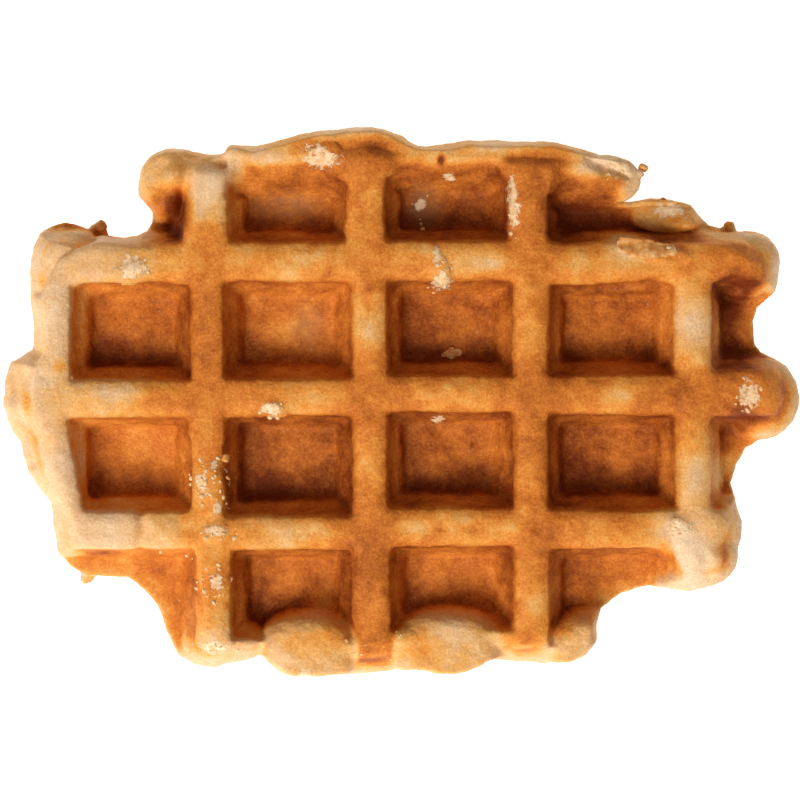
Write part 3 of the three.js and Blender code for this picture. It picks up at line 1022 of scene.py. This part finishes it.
# %% Sugar grit
GRIT_PLACES = [
    # middle, half size, number of grains
    ((-34.4, -13.6), (3.0, 4.2), 26), ((-31.4, -15), (1.6, 7), 16), ((-32.2, -21.6), (3.8, 2.2), 16),
    ((-32.6, -30.5), (3.0, 4.0), 20), ((-32.6, -42), (4.0, 2.6), 14), ((-39, -29), (4, 6), 6),
    ((-22.6, -0.9), (3.0, 1.6), 8), ((-46.4, 23.2), (4.0, 3.0), 14),
    ((-14.4, 42.4), (4.6, 2.4), 12), ((59.3, 1.5), (2.6, 4.0), 14),
    ((47.5, -21), (3.6, 1.8), 14), ((4.2, 33.5), (3.0, 5.6), 5), ((-1, -42), (3.6, 3), 10),
    ((6.2, 22.8), (2.6, 4.2), 26), ((18.7, 34), (1.0, 6.4), 10), ((-9, -43), (3, 2.6), 8),
    ((43, 26.6), (6.2, 1.8), 8), ((36.6, 40.4), (3.4, 2.0), 8),
]
GRIT_SIZES = (0.35, 1.1)
GRIT_SUNK = 0.25
# powers of a draw from 0 to 1: where a grain lies from the middle out, and how large it is
GATHERED = 0.6
MOSTLY_SMALL = 2
WIDTH_SHARE = (0.6, 1)
HEIGHT_SHARE = (0.5, 0.9)


def one_lump(name, size_mm, bevel_share, shake_share, seed):
    """A cube with bevelled edges and shaken corners."""
    bpy.ops.object.select_all(action="DESELECT")
    bpy.ops.mesh.primitive_cube_add(size=size_mm * MM)
    lump = bpy.context.object
    lump.name = name
    bpy.ops.object.mode_set(mode="EDIT")
    bpy.ops.mesh.select_all(action="SELECT")
    bpy.ops.mesh.bevel(offset=bevel_share * size_mm * MM, segments=1, affect="EDGES")
    bpy.ops.transform.vertex_random(offset=shake_share * size_mm * MM, seed=seed)
    bpy.ops.object.mode_set(mode="OBJECT")
    return lump


def copy_at(original, place_mm, size, draws):
    """A copy with its own mesh, turned at random, at a place in mm."""
    copied = original.copy()
    copied.data = original.data.copy()
    spin = Matrix.Rotation(draws.uniform(0, math.tau), 4, "Z")
    tip = Matrix.Rotation(draws.uniform(0, math.tau), 4, "X")
    width = size * draws.uniform(*WIDTH_SHARE)
    height = size * draws.uniform(*HEIGHT_SHARE)
    shape = Matrix.Diagonal((size, width, height, 1))
    copied.data.transform(Matrix.Translation(Vector(place_mm) * MM) @ spin @ tip @ shape)
    scene.collection.objects.link(copied)
    return copied


def strew(original, places, sizes, sunk, draws):
    """Copies of a lump all over some ovals on the dough."""
    copies = []
    for at, half, count in places:
        for _ in range(count):
            angle = draws.uniform(0, math.tau)
            reach = draws.random() ** GATHERED
            x = at[0] + half[0] * reach * math.cos(angle)
            y = at[1] + half[1] * reach * math.sin(angle)
            size = sizes[0] + (sizes[1] - sizes[0]) * draws.random() ** MOSTLY_SMALL
            copies.append(copy_at(original, (x, y, height_at(x, y) - sunk * size), size, draws))
    bpy.data.objects.remove(original)
    return copies


draws = random.Random(11)
grain = one_lump("grain", size_mm=1, bevel_share=0.26, shake_share=0.1, seed=3)
grit = join_all(strew(grain, GRIT_PLACES, GRIT_SIZES, GRIT_SUNK, draws), "sugar_grit")
print("sugar grit:", triangles(grit), "triangles")

# %% [markdown]
# A few real crumbs cling to the edges, broken from the crust when the irons were opened.
# They are larger lumps with more faces, softened by a Subdivision Surface.

# %% Crumbs
CRUMBS = [
    # place in mm, size in mm
    ((45.3, 34.7, 16.4), 2.2), ((47.0, 34.4, 15.6), 1.4), ((41.6, 40.7, 18.5), 1.8),
    ((-58.2, 5.9, 22.6), 1.8), ((-57.0, 4.6, 22.4), 1.1), ((-55.9, -30.3, 12.4), 1.8),
    ((-52.6, 30.6, 14.6), 2.4), ((56.2, 30.0, 15.5), 1.5), ((11.6, -8.4, 16.0), 0.7),
    ((-30.5, -9.2, 23.1), 1.6), ((-30.2, -12.6, 23.0), 1.0),
]

draws = random.Random(5)
lump = one_lump("crumb", size_mm=1, bevel_share=0.22, shake_share=0.16, seed=8)
apply_modifier(lump, "soften", "SUBSURF", levels=1, render_levels=1)
crumbs = join_all([copy_at(lump, place, size, draws) for place, size in CRUMBS], "crumbs")
bpy.data.objects.remove(lump)
print(len(CRUMBS), "crumbs,", triangles(crumbs), "triangles")

# %% [markdown]
# Torn crust shows the crumb of the dough: matt, light and open, straw to gold. Sugar that
# melted and set again is a pale caramel, smoother and glossier than the crust, and lets
# a little light through. Crumbs are the crust's own browns.

# %% Materials: torn crust, pearl sugar and crumbs


def dry_material(name, colours, blob_mm, roughness, gloss, through):
    """A mottled dry surface: its colours, blob size, roughness, gloss and softening inside."""
    material, tree = new_material(name)
    place = add_node(tree, "ShaderNodeTexCoord").outputs["Object"]
    mottle = add_node(tree, "ShaderNodeTexNoise", {
        "Vector": place, "Scale": per_metre(blob_mm), "Detail": 3, "Roughness": 0.6})
    ramp = add_node(tree, "ShaderNodeValToRGB", {"Fac": mottle.outputs["Fac"]})
    bump = add_node(tree, "ShaderNodeBump", {
        "Height": mottle.outputs["Fac"], "Strength": 0.6, "Distance": 0.25 * MM})
    surface = add_node(tree, "ShaderNodeBsdfPrincipled", {
        "Base Color": fill_ramp(ramp, colours),
        "Roughness": roughness, "IOR": 1.5, "Specular IOR Level": gloss,
        "Normal": bump.outputs["Normal"], "Subsurface Weight": through,
        "Subsurface Radius": (1.0, 0.6, 0.35), "Subsurface Scale": 0.8 * MM})
    add_node(tree, "ShaderNodeOutputMaterial", {"Surface": surface.outputs["BSDF"]})
    return material


FLAKE_COLOURS = [(0.3, "#B06A2C"), (0.5, "#CE8E4C"), (0.7, "#E0B078")]
SUGAR_COLOURS = [(0.3, "#CC9454"), (0.5, "#DEB47E"), (0.7, "#EED2AC")]
CRUMB_BROWNS = [(0.3, "#A05A22"), (0.5, "#C98A4C"), (0.7, "#DDAE74")]
finishes = [
    (flakes, dry_material("torn waffle crust", FLAKE_COLOURS, 1.2, 0.65, 0.15, 0.05)),
    (grit, dry_material("melted pearl sugar", SUGAR_COLOURS, 0.8, 0.4, 0.35, 0.15)),
    (crumbs, dry_material("waffle crumb", CRUMB_BROWNS, 0.9, 0.7, 0.12, 0.05)),
]
for piece, finish in finishes:
    piece.data.materials.clear()
    piece.data.materials.append(finish)
    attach(piece, "root")
print("finished:", ", ".join(piece.name for piece, _ in finishes))
